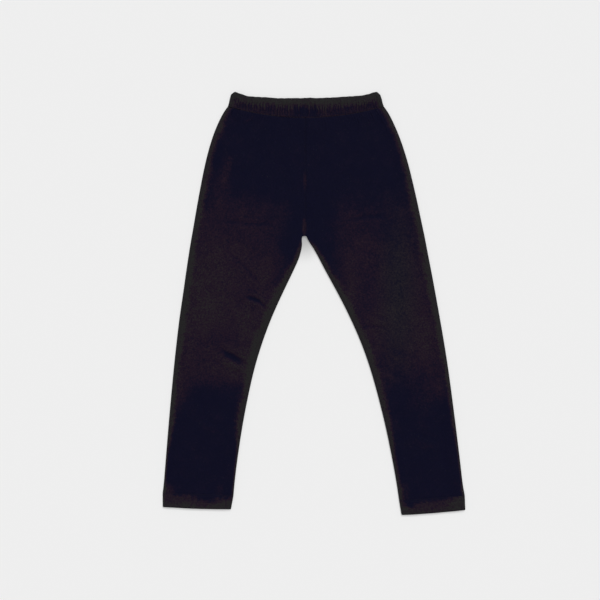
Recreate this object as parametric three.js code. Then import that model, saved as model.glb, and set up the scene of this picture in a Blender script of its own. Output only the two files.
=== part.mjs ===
// A child's ankle-length leggings in cotton jersey, laid flat with the front up.
//
// Two leg pieces, one for each side of the body. Each is cut in one piece and wraps from the centre
// front seam, round the outside of the leg with no side seam, to the centre back seam. Below the
// crotch its two edges meet in the inseam, so it is a flattened tube. At the top each side has its
// half of the waist casing, folded over a wide elastic and gathered by it. At the bottom each leg
// has a turned-up hem. The back panels lie flat on the surface and the front panels lie on them.
//
// Millimetres. +X is towards the wearer's left, +Y towards the waist and +Z up. Outlines are drawn
// from the top of the waist at the centre front. The group is then moved so that its origin is in
// the middle of the laid garment, on the surface.
import * as THREE from 'three';

// Driving dimensions
const clothThickness = 1.0;    // one layer of jersey with its nap
const casingThickness = 2.6;   // two layers of jersey with the elastic between them
const hemThickness = 2.0;      // the leg's cloth turned up on itself
const seamGap = 0.3;           // between two pieces that are sewn together
const casingDepth = 27.6;      // at the centre front, for a 25 mm elastic
const edgeRoll = 16;           // how far in from a folded edge the cloth is still lifted by it
const earReach = 0.18;         // share of a casing row that its ear lifts
const gatherCount = 14;        // gathers across one half of the casing's front
const gatherHeight = 0.9;
const gatherSway = 0.45;       // share of that height by which they differ

// Cells round a section of a piece, and the steps between its sections
const frontCells = 10;
const backCells = 6;
const foldCells = 4;
const sectionPitch = 18;
const hemSteps = 2;

// The waist casing, from its top edge down to the seam. Each row runs from the centre seam at
// centreY to the folded edge at the hip, and sweeps up to it as the square of the way out. ear is
// how much higher the stiff elastic holds the row's end.
const casingRows = {
  right: [
    { centreY: 0, sideX: 99.4, sideY: 4.6, ear: 4.1 },
    { centreY: -4, sideX: 104.4, sideY: 1.6, ear: 3.2 },
    { centreY: -10, sideX: 106.1, sideY: -3.4, ear: 2 },
    { centreY: -18, sideX: 107.2, sideY: -8, ear: 1 },
    { centreY: -casingDepth, sideX: 108.7, sideY: -11.5, ear: 0 },
  ],
  left: [
    { centreY: 0, sideX: 101.6, sideY: 6.4, ear: 3 },
    { centreY: -4, sideX: 106.2, sideY: 2.6, ear: 2.4 },
    { centreY: -10, sideX: 108.4, sideY: -3.2, ear: 2 },
    { centreY: -18, sideX: 109.6, sideY: -8, ear: 1 },
    { centreY: -casingDepth, sideX: 111.2, sideY: -11.5, ear: 0 },
  ],
};

// The legs between the casing and the hem. outer is the folded edge at the outside of the leg, and
// inner is the centre seam as far as the crotch and the inseam below it. curve is the power by which
// a section sweeps from one to the other, 1 for a straight one. rise is how high the front panel
// stands in the middle of the leg, and fold is the height of its folded edges.
const legRows = {
  right: [
    { at: 'underWaist', outerX: 113.6, outerY: -18, innerX: 0, innerY: -33, curve: 1.9, rise: 4.9, fold: 5.4 },
    { at: 'yoke', outerX: 117.7, outerY: -25.5, innerX: 0, innerY: -38, curve: 1.8, rise: 4.6, fold: 5.0 },
    { at: 'upperHip', outerX: 128.5, outerY: -50, innerX: 0, innerY: -56, curve: 1.4, rise: 3.6, fold: 4.8 },
    { at: 'hip', outerX: 139, outerY: -86, innerX: 0, innerY: -88, curve: 1, rise: 3.1, fold: 4.6 },
    { at: 'seat', outerX: 149.1, outerY: -136, innerX: 0, innerY: -136, curve: 1, rise: 3.1, fold: 4.6 },
    { at: 'crotch', outerX: 159.6, outerY: -196.4, innerX: 0, innerY: -196.4, curve: 1, rise: 3.6, fold: 4.6 },
    { at: 'fork', outerX: 160.4, outerY: -200, innerX: 3.9, innerY: -199.5, curve: 1, rise: 3.6, fold: 4.6 },
    { at: 'underFork', outerX: 162, outerY: -210, innerX: 4.4, innerY: -210, curve: 1, rise: 3.6, fold: 4.6 },
    { at: 'thighTop', outerX: 164.2, outerY: -224, innerX: 8, innerY: -224, curve: 1, rise: 3.7, fold: 4.6 },
    { at: 'thigh', outerX: 167.2, outerY: -244, innerX: 17, innerY: -244, curve: 1, rise: 3.8, fold: 4.6 },
    { at: 'midThigh', outerX: 171.4, outerY: -274, innerX: 31.4, innerY: -274, curve: 1, rise: 4.0, fold: 4.6 },
    { at: 'lowThigh', outerX: 176.4, outerY: -308, innerX: 46.8, innerY: -308, curve: 1, rise: 4.1, fold: 4.6 },
    { at: 'aboveKnee', outerX: 181.2, outerY: -348, innerX: 61.6, innerY: -348, curve: 1, rise: 4.1, fold: 4.6 },
    { at: 'knee', outerX: 185.8, outerY: -392, innerX: 74.2, innerY: -392, curve: 1, rise: 3.6, fold: 4.6 },
    { at: 'calf', outerX: 191.4, outerY: -453, innerX: 86.8, innerY: -453, curve: 1, rise: 2.9, fold: 4.6 },
    { at: 'lowCalf', outerX: 196, outerY: -509, innerX: 95.5, innerY: -509, curve: 1, rise: 2.9, fold: 4.6 },
    { at: 'ankle', outerX: 199, outerY: -546, innerX: 100, innerY: -547, curve: 1.2, rise: 3.1, fold: 4.6 },
  ],
  left: [
    { at: 'underWaist', outerX: 116.2, outerY: -18, innerX: 0, innerY: -33, curve: 1.9, rise: 4.9, fold: 5.4 },
    { at: 'yoke', outerX: 120.2, outerY: -25.5, innerX: 0, innerY: -38, curve: 1.8, rise: 4.6, fold: 5.0 },
    { at: 'upperHip', outerX: 131.4, outerY: -50, innerX: 0, innerY: -56, curve: 1.4, rise: 3.6, fold: 4.8 },
    { at: 'hip', outerX: 143.6, outerY: -86, innerX: 0, innerY: -88, curve: 1, rise: 3.1, fold: 4.6 },
    { at: 'seat', outerX: 155.9, outerY: -136, innerX: 0, innerY: -136, curve: 1, rise: 3.1, fold: 4.6 },
    { at: 'crotch', outerX: 168.8, outerY: -196.4, innerX: 0, innerY: -196.4, curve: 1, rise: 3.6, fold: 4.6 },
    { at: 'fork', outerX: 169.5, outerY: -200, innerX: 4.2, innerY: -200, curve: 1, rise: 3.6, fold: 4.6 },
    { at: 'underFork', outerX: 171.4, outerY: -210, innerX: 11.6, innerY: -210, curve: 1, rise: 3.6, fold: 4.6 },
    { at: 'thighTop', outerX: 174.1, outerY: -224, innerX: 19.2, innerY: -224, curve: 1, rise: 3.7, fold: 4.6 },
    { at: 'thigh', outerX: 178, outerY: -244, innerX: 29.6, innerY: -244, curve: 1, rise: 3.8, fold: 4.6 },
    { at: 'midThigh', outerX: 183.6, outerY: -274, innerX: 46.1, innerY: -274, curve: 1, rise: 4.0, fold: 4.6 },
    { at: 'lowThigh', outerX: 189.7, outerY: -308, innerX: 63.3, innerY: -308, curve: 1, rise: 4.1, fold: 4.6 },
    { at: 'aboveKnee', outerX: 196.6, outerY: -348, innerX: 80.7, innerY: -348, curve: 1, rise: 4.0, fold: 4.6 },
    { at: 'knee', outerX: 203.3, outerY: -392, innerX: 95.6, innerY: -392, curve: 1, rise: 3.5, fold: 4.6 },
    { at: 'calf', outerX: 211.3, outerY: -453, innerX: 111.6, innerY: -453, curve: 1, rise: 2.9, fold: 4.6 },
    { at: 'lowCalf', outerX: 218.2, outerY: -509, innerX: 123.4, innerY: -509, curve: 1, rise: 2.9, fold: 4.6 },
    { at: 'ankle', outerX: 222.5, outerY: -546, innerX: 130.6, innerY: -550, curve: 1.2, rise: 3.1, fold: 4.6 },
  ],
};

// The hems: their stitching line at the top, and the bottom edge of the leg.
const hemLines = {
  right: {
    stitched: { outerX: 200.4, outerY: -556.5, innerX: 101, innerY: -560 },
    edge: { outerX: 200.3, outerY: -576.2, innerX: 104.6, innerY: -579.4 },
  },
  left: {
    stitched: { outerX: 225.1, outerY: -560, innerX: 132.9, innerY: -566.8 },
    edge: { outerX: 225.9, outerY: -580.4, innerX: 136.4, innerY: -587.4 },
  },
};
const hemCurve = 1.4;          // the hems dip a little between their corners
const hemSeamRise = 4.0;
const hemEdgeRise = 4.8;       // the front of the hem stands a little off the back
const hemFold = 4.6;
const casingRise = 5.8;
const waistSeamRise = 5.2;

// The largest folds of the front panels, each from one end to the other. lift is the height of a
// ridge, or less than nothing for a trough, and width is from its middle to where it fades out.
const folds = [
  { name: 'thighDrag', from: [-120, -208], to: [-54, -272], width: 12, lift: -0.8 },
  { name: 'thighPucker', from: [-92, -270], to: [-52, -290], width: 12, lift: -1.3 },
  { name: 'kneePucker', from: [-122, -350], to: [-76, -371], width: 12, lift: -1.4 },
  { name: 'kneeRidge', from: [-118, -376], to: [-76, -395], width: 14, lift: 1.1 },
  { name: 'rightWhisker', from: [-122, -174], to: [-36, -178], width: 12, lift: -0.6 },
  { name: 'leftWhisker', from: [48, -177], to: [124, -166], width: 12, lift: -0.6 },
  { name: 'leftKneePucker', from: [80, -315], to: [116, -327], width: 12, lift: -0.9 },
];

const smooth = (t) => {
  const u = Math.min(1, Math.max(0, t));
  return u * u * (3 - 2 * u);
};

// How far the folds lift the front panel at a point.
function foldLift({ x, y }) {
  const lifts = folds.map(({ from, to, width, lift }) => {
    const along = [to[0] - from[0], to[1] - from[1]];
    const length = Math.hypot(...along);
    const share = ((x - from[0]) * along[0] + (y - from[1]) * along[1]) / length ** 2;
    const across = Math.abs((x - from[0]) * along[1] - (y - from[1]) * along[0]) / length;
    const taper = smooth(share * 3) * smooth((1 - share) * 3);
    return lift * taper * smooth(1 - across / width);
  });
  return lifts.reduce((sum, lift) => sum + lift, 0);
}

// Every section is a closed loop of cloth, seen end on: along the front panel from its inner end to
// the outer one, round the outer fold, back along the back panel and round the inner fold. These
// are the columns of that loop. share runs outwards along a panel, and turn is the way round a
// fold, from its top to its bottom.
function sectionColumns(cells) {
  const count = (n, make) => Array.from({ length: n }, (_, i) => make(i));
  return [
    ...count(cells.front + 1, (i) => ({ part: 'front', share: i / cells.front })),
    ...count(foldCells - 1, (i) => ({ part: 'outerFold', turn: (i + 1) / foldCells })),
    ...count(cells.back + 1, (i) => ({ part: 'back', share: 1 - i / cells.back })),
    ...count(foldCells - 1, (i) => ({ part: 'innerFold', turn: 1 - (i + 1) / foldCells })),
  ];
}

// The outside and the inside of the wall at one column of a section. u runs along the section from
// its inner end, and z up. An open section ends at a seam, with no inner fold.
function wallPoints(row, column, thickness, lift) {
  const width = Math.hypot(row.outerX - row.innerX, row.outerY - row.innerY);
  const radius = row.fold / 2;
  const start = row.open ? 0 : radius;
  const place = (u, z) => {
    const share = Math.max(0, u / width);
    const sweep = (row.outerY - row.innerY) * share ** row.curve;
    const ear = row.ear * smooth((share - 1 + earReach) / earReach);
    return { x: row.innerX + (row.outerX - row.innerX) * share, y: row.innerY + sweep + ear, z };
  };
  if (column.part === 'outerFold' || column.part === 'innerFold') {
    const side = column.part === 'outerFold' ? 1 : -1;
    const middle = side > 0 ? width - radius : start;
    const angle = Math.PI * (0.5 - column.turn);
    const at = (r) => place(middle + side * r * Math.cos(angle), radius + r * Math.sin(angle));
    return [at(radius), at(radius - thickness)];
  }
  const u = start + (width - radius - start) * column.share;
  if (column.part === 'back') return [place(u, 0), place(u, thickness)];
  const toFold = (row.open ? width - u : Math.min(u, width - u)) - radius;
  const rolled = smooth(1 - toFold / edgeRoll);
  const top = row.rise + (row.fold - row.rise) * rolled + (1 - rolled) * lift(place(u, 0), column);
  return [place(u, top), place(u, top - thickness)];
}

// The closed surface of a wall of cloth. outside and inside are the same grid of points on its two
// faces, sections by columns, and the columns close on themselves. hasCloth says whether there is
// cloth in the cell between a section and the next, after a column.
function wallGeometry(outside, inside, hasCloth) {
  const last = outside.length - 1;
  const columns = outside[0].length;
  const positions = [];
  const quad = (...corners) => {
    for (const i of [0, 1, 2, 0, 2, 3]) positions.push(...corners[i].toArray());
  };
  const cloth = (s, c) => s >= 0 && s < last && hasCloth(s, (c + columns) % columns);
  for (let s = 0; s < last; s += 1) {
    for (let c = 0; c < columns; c += 1) {
      if (!cloth(s, c)) continue;
      const [topA, topB, lowB, lowA] = [[s, 0], [s, 1], [s + 1, 1], [s + 1, 0]].map(([row, step]) => {
        const column = (c + step) % columns;
        return { out: outside[row][column], in: inside[row][column] };
      });
      quad(topA.out, lowA.out, lowB.out, topB.out);
      quad(topA.in, topB.in, lowB.in, lowA.in);
      const rims = [[s - 1, c, topA, topB], [s + 1, c, lowB, lowA], [s, c - 1, lowA, topA], [s, c + 1, topB, lowB]];
      for (const [beside, column, from, to] of rims) {
        if (!cloth(beside, column)) quad(from.out, to.out, to.in, from.in);
      }
    }
  }
  const geometry = new THREE.BufferGeometry();
  geometry.setAttribute('position', new THREE.Float32BufferAttribute(positions, 3));
  geometry.computeVertexNormals();
  return geometry;
}

// A piece of cloth through its sections. Round the inner fold there is cloth only between two closed
// sections, below the crotch. side is 1 for the wearer's left and -1 for the right, where mirroring
// turns the wall's two faces into each other.
function clothPiece(name, sections, { side, thickness, front, material, lift = () => 0 }) {
  const columns = sectionColumns({ front, back: backCells });
  const mirroredLift = (spot, column) => lift({ x: side * spot.x, y: spot.y }, column);
  const walls = sections.map((row) => columns.map((column) =>
    wallPoints(row, column, thickness, mirroredLift).map(({ x, y, z }) => new THREE.Vector3(side * x, y, z))));
  const face = (which) => walls.map((section) => section.map((wall) => wall[which]));
  const faces = side < 0 ? [face(1), face(0)] : [face(0), face(1)];
  const firstInner = front + foldCells + backCells;
  const hasCloth = (s, c) => c < firstInner || !(sections[s].open || sections[s + 1].open);
  const mesh = new THREE.Mesh(wallGeometry(...faces, hasCloth), material);
  mesh.name = name;
  return mesh;
}

// The sections of a table with more between them, on smooth curves, sectionPitch apart or less.
function refined(rows) {
  const numbers = Object.keys(rows[0]).filter((key) => typeof rows[0][key] === 'number');
  const at = (index) => rows[Math.min(rows.length - 1, Math.max(0, index))];
  return rows.flatMap((row, i) => {
    if (i === rows.length - 1) return [row];
    const steps = Math.ceil(Math.abs(at(i + 1).outerY - row.outerY) / sectionPitch);
    return Array.from({ length: steps }, (_, step) => {
      const t = step / steps;
      const between = { ...row };
      for (const key of numbers) {
        const [p, q, r, s] = [-1, 0, 1, 2].map((offset) => at(i + offset)[key]);
        between[key] = q + 0.5 * t * (r - p + t * (2 * p - 5 * q + 4 * r - s + t * (3 * (q - r) + s - p)));
      }
      return between;
    });
  });
}

const jersey = new THREE.MeshStandardMaterial({ color: 0x1b191d, roughness: 0.85, metalness: 0 });
const elasticated = new THREE.MeshStandardMaterial({ color: 0x201e22, roughness: 0.88, metalness: 0 });
const hemmed = new THREE.MeshStandardMaterial({ color: 0x1e1c20, roughness: 0.85, metalness: 0 });

// Half of the waist casing. Its front is gathered by the elastic, and its back lies flat.
function casingHalf(name, side, rows) {
  const sections = rows.map((row) => ({
    outerX: row.sideX, outerY: row.sideY, innerX: seamGap / 2, innerY: row.centreY,
    curve: 2, ear: row.ear, rise: casingRise, fold: casingRise, open: true,
  }));
  const front = 2 * gatherCount;
  const lift = (spot, column) => {
    const index = Math.round(column.share * front);
    const uneven = 1 + gatherSway * Math.sin(2.7 * index) * Math.cos(1.3 * index);
    return index % 2 ? gatherHeight * uneven : 0;
  };
  return clothPiece(name, sections, { side, thickness: casingThickness, front, material: elasticated, lift });
}

// A leg piece, from just under the casing to just above the hem. The centre seam ends just above
// the crotch section, where the inseam starts.
function legPiece(name, side, rows, casing, hem) {
  const waist = {
    outerX: casing.sideX, outerY: casing.sideY - seamGap, innerX: 0, innerY: casing.centreY - seamGap,
    curve: 2, rise: waistSeamRise, fold: casingRise,
  };
  const ankle = {
    ...hem, outerY: hem.outerY + seamGap, innerY: hem.innerY + seamGap,
    curve: hemCurve, rise: hemSeamRise, fold: hemFold,
  };
  const crotch = rows.findIndex((row) => row.at === 'crotch');
  const centreSeam = refined([waist, ...rows.slice(0, crotch + 1)]);
  const seamEnd = centreSeam.pop();
  centreSeam.push({ ...seamEnd, outerY: seamEnd.outerY + 2 * seamGap, innerY: seamEnd.innerY + 2 * seamGap });
  const inseam = refined([...rows.slice(crotch), ankle]);
  const sections = [
    ...centreSeam.map((row) => ({ ...row, innerX: seamGap / 2, ear: 0, open: true })),
    ...inseam.map((row) => ({ ...row, innerX: Math.max(row.innerX, seamGap / 2), ear: 0, open: false })),
  ];
  return clothPiece(name, sections, {
    side, thickness: clothThickness, front: frontCells, material: jersey, lift: foldLift,
  });
}

// The turned-up hem of a leg, a band all round it.
function hemBand(name, side, { stitched, edge }) {
  const sections = Array.from({ length: hemSteps + 1 }, (_, i) => {
    const share = i / hemSteps;
    const section = { curve: hemCurve, ear: 0, fold: hemFold, open: false };
    section.rise = hemSeamRise + (hemEdgeRise - hemSeamRise) * share;
    for (const key of Object.keys(edge)) section[key] = stitched[key] + (edge[key] - stitched[key]) * share;
    return section;
  });
  return clothPiece(name, sections, { side, thickness: hemThickness, front: frontCells, material: hemmed });
}

const leggings = new THREE.Group();
for (const [wearers, side] of [['right', -1], ['left', 1]]) {
  const casing = casingRows[wearers];
  const hem = hemLines[wearers];
  leggings.add(
    casingHalf(`casing_${wearers}`, side, casing),
    legPiece(`leg_${wearers}`, side, legRows[wearers], casing[casing.length - 1], hem.stitched),
    hemBand(`hem_${wearers}`, side, hem),
  );
}

const extent = new THREE.Box3().setFromObject(leggings);
const middle = extent.getCenter(new THREE.Vector3());
leggings.position.set(-middle.x, -middle.y, 0);

export default leggings;
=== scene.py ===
# A child's black cotton-jersey leggings, laid flat with the front up.
# Shapes are worked out in millimetres, and meshes are written in metres.
import math

import bpy
import numpy as np
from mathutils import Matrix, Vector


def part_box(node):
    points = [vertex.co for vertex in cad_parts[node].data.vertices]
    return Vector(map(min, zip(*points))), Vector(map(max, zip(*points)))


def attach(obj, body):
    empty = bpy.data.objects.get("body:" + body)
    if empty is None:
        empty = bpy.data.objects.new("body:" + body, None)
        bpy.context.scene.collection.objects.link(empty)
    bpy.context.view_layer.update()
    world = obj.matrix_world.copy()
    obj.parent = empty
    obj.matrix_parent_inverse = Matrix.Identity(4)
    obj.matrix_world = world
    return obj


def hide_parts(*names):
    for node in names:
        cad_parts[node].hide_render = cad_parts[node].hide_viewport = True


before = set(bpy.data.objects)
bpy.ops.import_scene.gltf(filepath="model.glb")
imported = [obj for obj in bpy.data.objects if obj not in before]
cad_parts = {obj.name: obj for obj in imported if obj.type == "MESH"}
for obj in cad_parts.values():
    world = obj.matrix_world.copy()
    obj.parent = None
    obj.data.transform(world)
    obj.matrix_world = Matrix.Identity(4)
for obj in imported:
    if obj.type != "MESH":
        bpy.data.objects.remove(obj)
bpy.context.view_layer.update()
mm = 0.001
sides = {"right": -1, "left": 1}        # the wearer's sides, and the way that each lies in x
print("frame loaded:", len(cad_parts), "nodes")


# Soft shapes and lines

def ease(value):
    value = np.clip(value, 0, 1)
    return value * value * (3 - 2 * value)


def bell(value):
    return np.exp(-value * value)


def softNoise(x, y, scale, seed):
    # an uneven surface between about -1 and 1, with swells of that size
    dice = np.random.default_rng(seed)
    total = np.zeros(np.broadcast(x, y).shape)
    waves = 9
    for _ in range(waves):
        turn, phase = dice.uniform(0, 2 * np.pi, 2)
        reach = scale * dice.uniform(0.7, 1.5)
        total += np.sin(2 * np.pi * (x * np.cos(turn) + y * np.sin(turn)) / reach + phase)
    return total / math.sqrt(waves)


def swells(x, y, layers):
    # each layer has a height and a size in mm, a seed, and a share of y, below 1 to draw it out along y
    total = 0
    for height, scale, seed, share in layers:
        total += height * softNoise(x, y * share, scale, seed)
    return total


def smoothed(values, passes):
    # evens out the facets of a line and keeps its two ends
    for _ in range(passes):
        inner = (values[:-2] + 2 * values[1:-1] + values[2:]) / 4
        values = np.concatenate([values[:1], inner, values[-1:]])
    return values


def ladder(start, end, pitch, lead=(0,), tail=(0,)):
    # levels from start down to end, a pitch apart, with the closer ones of lead and tail at its ends
    first, last = start - lead[-1], end + tail[-1]
    count = max(1, round((first - last) / pitch))
    middle = np.linspace(first, last, count + 1)
    return np.concatenate([start - np.array(lead[:-1]), middle, end + np.array(tail[:-1])[::-1]])


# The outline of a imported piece, seen from above

seamX = (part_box("casing_right")[1].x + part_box("casing_left")[0].x) / 2 / mm
crotch = {
    "opening": 1.2,                   # how far from the seam a leg's edge is where the legs part
    "clearance": 0.05,                # from the seam to a leg's fold
    "arch": {"right": 2.6, "left": 1.1},      # how much wider the gap is at the crotch itself
    "archLength": 14, "rounding": 1.5,
}


class Plan:
    # x runs outwards from the seam plane and y up to the waist. A row of the piece has a level, 0 at
    # its top edge and 1 at its bottom edge, and a place on a row has a share, 0 at its inner end.
    # fades are how far in the shapes of its top and bottom edges reach, where they don't go all the way.
    def __init__(self, kind, side, fades=None):
        self.kind, self.side, self.sign = kind, side, sides[side]
        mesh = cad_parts[kind + "_" + side].data
        points = np.zeros(len(mesh.vertices) * 3, np.float32)
        mesh.vertices.foreach_get("co", points)
        edges = np.zeros(len(mesh.edges) * 2, np.int32)
        mesh.edges.foreach_get("vertices", edges)
        points = points.reshape(-1, 3)[:, :2].astype(float) / mm
        points[:, 0] = self.sign * (points[:, 0] - seamX)
        self.starts, self.ends = points[edges[::2]], points[edges[1::2]]
        corners = [points[np.argmax(points @ way)] for way in ((-1, 1), (0, 1), (-1, -1), (1, -1))]
        topInner, topOuter, bottomInner, bottomOuter = corners
        self.innerY = (topInner[1], bottomInner[1])
        self.outerY = (topOuter[1], bottomOuter[1])
        self.length = topInner[1] - bottomInner[1]
        self.width = topOuter[0] - topInner[0]
        self.fades = fades
        self.joined = -1                # the level down to which its inner end lies on the seam
        self.arch = 0
        self.steps = np.linspace(0, 1, 181)
        self.innerX = self.reached(topInner, bottomInner, 1, np.min, 5)
        self.outerX = self.reached(topOuter, bottomOuter, 1, np.max, 5)
        top = self.reached(topInner, topOuter, 0, np.max, 24)
        bottom = self.reached(bottomInner, bottomOuter, 0, np.min, 24)
        self.topSweep = top - np.interp(self.steps, (0, 1), (topInner[1], topOuter[1]))
        self.bottomSweep = bottom - np.interp(self.steps, (0, 1), (bottomInner[1], bottomOuter[1]))

    def reached(self, start, end, axis, furthest, passes):
        # how far the piece reaches on one side of it, on cuts from one corner to another
        found = [start[1 - axis]]
        for step in self.steps[1:-1]:
            at = start[axis] + (end[axis] - start[axis]) * step
            a, b = self.starts[:, axis] - at, self.ends[:, axis] - at
            cut = (a < 0) != (b < 0)
            part = (a[cut] / (a[cut] - b[cut]))[:, None]
            found.append(furthest((self.starts[cut] * (1 - part) + self.ends[cut] * part)[:, 1 - axis]))
        return smoothed(np.array(found + [end[1 - axis]]), passes)

    def across(self, level):
        inner = np.interp(level, self.steps, self.innerX)
        if self.joined > 0:             # a small round arch at the crotch
            under = np.maximum((level - self.joined) * self.length, 0)
            inner = inner + self.arch * (1 - ease(under / crotch["archLength"]))
            turned = np.clip(1 - under / crotch["rounding"], 0, 1)
            clear = crotch["clearance"]
            inner = np.where(level < self.joined, clear, clear + (inner - clear) * np.sqrt(1 - turned**2))
        return inner, np.interp(level, self.steps, self.outerX)

    def y(self, level, share):
        inner = np.interp(level, (0, 1), self.innerY)
        outer = np.interp(level, (0, 1), self.outerY)
        nearTop, nearBottom = 1 - level, level
        if self.fades:
            nearTop = 1 - ease(level * self.length / self.fades[0])
            nearBottom = 1 - ease((1 - level) * self.length / self.fades[1])
        sweep = np.interp(share, self.steps, self.topSweep) * nearTop
        sweep += np.interp(share, self.steps, self.bottomSweep) * nearBottom
        return inner + (outer - inner) * share + sweep

    def inGarment(self, points):
        # the same points, with x across the garment
        return points * (self.sign, 1, 1) + (seamX, 0, 0)


fades = {"leg": (70, 45), "casing": None, "hem": None}
plans = {(kind, side): Plan(kind, side, fades[kind]) for side in sides for kind in fades}
waistY = plans["casing", "right"].innerY[0]
leftPlan = plans["leg", "left"]
leftEdgeY = np.interp(leftPlan.steps, (0, 1), leftPlan.innerY)
crotchY = np.interp(crotch["opening"], leftPlan.innerX, leftEdgeY)
fuller = 0.3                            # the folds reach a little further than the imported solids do
for side in sides:
    plan = plans["leg", side]
    plan.joined = (plan.innerY[0] - crotchY) / plan.length
    plan.arch = crotch["arch"][side]
    for kind in ("leg", "hem"):
        plans[kind, side].outerX += fuller
        plans[kind, side].innerX -= fuller
print("outlines read: waist at %.1f mm, crotch at %.1f mm" % (waistY, crotchY))


# Cloth seen end on: along the front panel, round the outer fold, along the back and round the inner fold

class Columns:
    def __init__(self, front, back, fold, seamSteps=(0, 0.5, 1.1, 1.9, 3, 4.4)):
        # seamSteps are the first steps out from the centre seam, in mm
        lead = [(step, 0) for step in seamSteps[:-1]]
        frontPanel = lead + [(seamSteps[-1], i / front) for i in range(front + 1)]
        backPanel = (lead + [(seamSteps[-1], i / back) for i in range(back + 1)])[::-1]
        turns = np.radians(90 - 180 * np.arange(1, fold + 1) / (fold + 1))
        self.kind = np.repeat([0, 1, 2, 3], [len(frontPanel), fold, len(backPanel), fold])
        none = [(0, 0)] * fold
        self.step, self.part = np.array(frontPanel + none + backPanel + none).T
        self.turn = np.concatenate([np.zeros(len(frontPanel)), turns, np.zeros(len(backPanel)), turns[::-1]])
        self.lastStep = seamSteps[-1]
        self.outerEdge = len(frontPanel) + fold // 2
        self.innerFold = len(frontPanel) + fold + len(backPanel) - 1
        self.count = len(self.kind)


def layCloth(plan, levels, depths):
    # points on the cloth at these levels, and at these depths under its outer face
    columns, level, depth = plan.columns, np.asarray(levels)[:, None], np.asarray(depths)[:, None]
    shape = {key: value(level) if callable(value) else value for key, value in plan.form.items()}
    innerX, outerX = plan.across(level)
    frontStart, frontEnd = innerX + shape["innerFront"], outerX - shape["outerFront"]
    backStart, backEnd = innerX + shape["innerBack"], outerX - shape["outerBack"]
    frontX = frontStart + columns.step + (frontEnd - frontStart - columns.lastStep) * columns.part
    backX = backStart + columns.step + (backEnd - backStart - columns.lastStep) * columns.part
    up = columns.turn >= 0
    across, rising = np.cos(columns.turn), np.sin(columns.turn)
    outerTurn = np.where(
        up, frontEnd + (shape["outerFront"] - depth) * across,
        backEnd + (shape["outerBack"] - depth) * across)
    innerTurn = np.where(
        up, frontStart - (shape["innerFront"] - depth) * across,
        backStart - (shape["innerBack"] - depth) * across)
    x = np.choose(columns.kind, [frontX, outerTurn, backX, innerTurn])

    share = np.clip((x - innerX) / (outerX - innerX), 0, 1)
    y = plan.y(level, share)
    top, back = plan.relief(plan, plan.sign * x, y - waistY, level, share, x - innerX, outerX - x)
    rise, folded, innerFolded = shape["rise"], shape["foldHeight"], shape["innerHeight"]
    rolled = 1 - ease((frontEnd - x) / shape["edgeRoll"])
    innerRolled = 1 - ease((x - frontStart) / shape["edgeRoll"])
    panel = rise + (folded - rise) * rolled + (innerFolded - rise) * innerRolled
    foldTop = np.where(columns.kind == 1, folded, innerFolded)
    middle = foldTop * 0.5
    turned = middle + rising * np.where(up, foldTop - middle - depth, middle - depth)
    z = np.choose(columns.kind, [panel - depth, turned, depth + 0 * x, turned])
    weight = np.where(columns.kind % 2, rising**2, 1)
    z = z + weight * np.where(up & (columns.kind != 2), top, back)
    # the front panel stays clear of the back one under it, by a soft limit
    apart, sharpness = 0.15, 6
    lowest = 2 * shape["thickness"] + back + apart - depth
    eased = np.logaddexp(sharpness * z, sharpness * lowest) / sharpness
    z = np.where(columns.kind == 0, eased, z)
    return np.stack([x, y, z], -1)


def unit(vectors):
    return vectors / np.linalg.norm(vectors, axis=-1, keepdims=True)


def distances(path):
    # how far along a path each of its points lies
    return np.concatenate([[0], np.cumsum(np.linalg.norm(np.diff(path, axis=0), axis=1))])


def newObject(name, data):
    made = bpy.data.objects.new(name, data)
    bpy.context.scene.collection.objects.link(made)
    return made


def smoothPiece(name, points, faces):
    mesh = bpy.data.meshes.new(name)
    mesh.from_pydata(points * mm, [], faces)
    mesh.polygons.foreach_set("use_smooth", [True] * len(mesh.polygons))
    piece = newObject(name, mesh)
    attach(piece, "root")
    return piece


def clothObject(plan, outside, inside, cloth, pale):
    # one closed piece from the cloth's two faces. cloth says which cells between rows hold any.
    rows, count = outside.shape[:2]
    under = rows * count
    faces = []
    for r in range(rows - 1):
        for c in range(count):
            if not cloth[r, c]:
                continue
            d = (c + 1) % count
            a, b, e, f = r * count + c, (r + 1) * count + c, (r + 1) * count + d, r * count + d
            faces.append((a, b, e, f))
            faces.append((a + under, f + under, e + under, b + under))
            edges = (
                (r == 0 or not cloth[r - 1, c], f, a), (r == rows - 2 or not cloth[r + 1, c], b, e),
                (not cloth[r, c - 1], a, b), (not cloth[r, d], e, f))
            faces += [(start, start + under, end + under, end) for bare, start, end in edges if bare]
    points = plan.inGarment(np.concatenate([outside.reshape(-1, 3), inside.reshape(-1, 3)]))
    if plan.sign < 0:
        faces = [face[::-1] for face in faces]
    used = np.unique(np.concatenate([np.array(face) for face in faces]))
    place = np.zeros(len(points), int)
    place[used] = np.arange(len(used))
    name = plan.side + plan.kind.capitalize()
    piece = smoothPiece(name, points[used], [place[list(face)].tolist() for face in faces])
    piece.data.set_sharp_from_angle(angle=math.radians(55))
    # the knit is measured over the cloth in mm, across from the outer edge and along from the top
    edge = plan.columns.outerEdge
    across = np.array([distances(row) for row in outside])
    across -= across[:, edge:edge + 1]
    along = distances(outside[:, edge])[:, None] + 0 * across
    # the paleness goes with them, painted highlight and painted shade among it
    values = np.stack([across, along, pale + 0 * across], -1).reshape(-1, 3)
    values = np.concatenate([values, values])[used]
    values[:, :2] *= mm
    attribute = piece.data.attributes.new("clothCoords", "FLOAT_VECTOR", "POINT")
    attribute.data.foreach_set("vector", values.astype(np.float32).ravel())
    return piece


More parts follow.
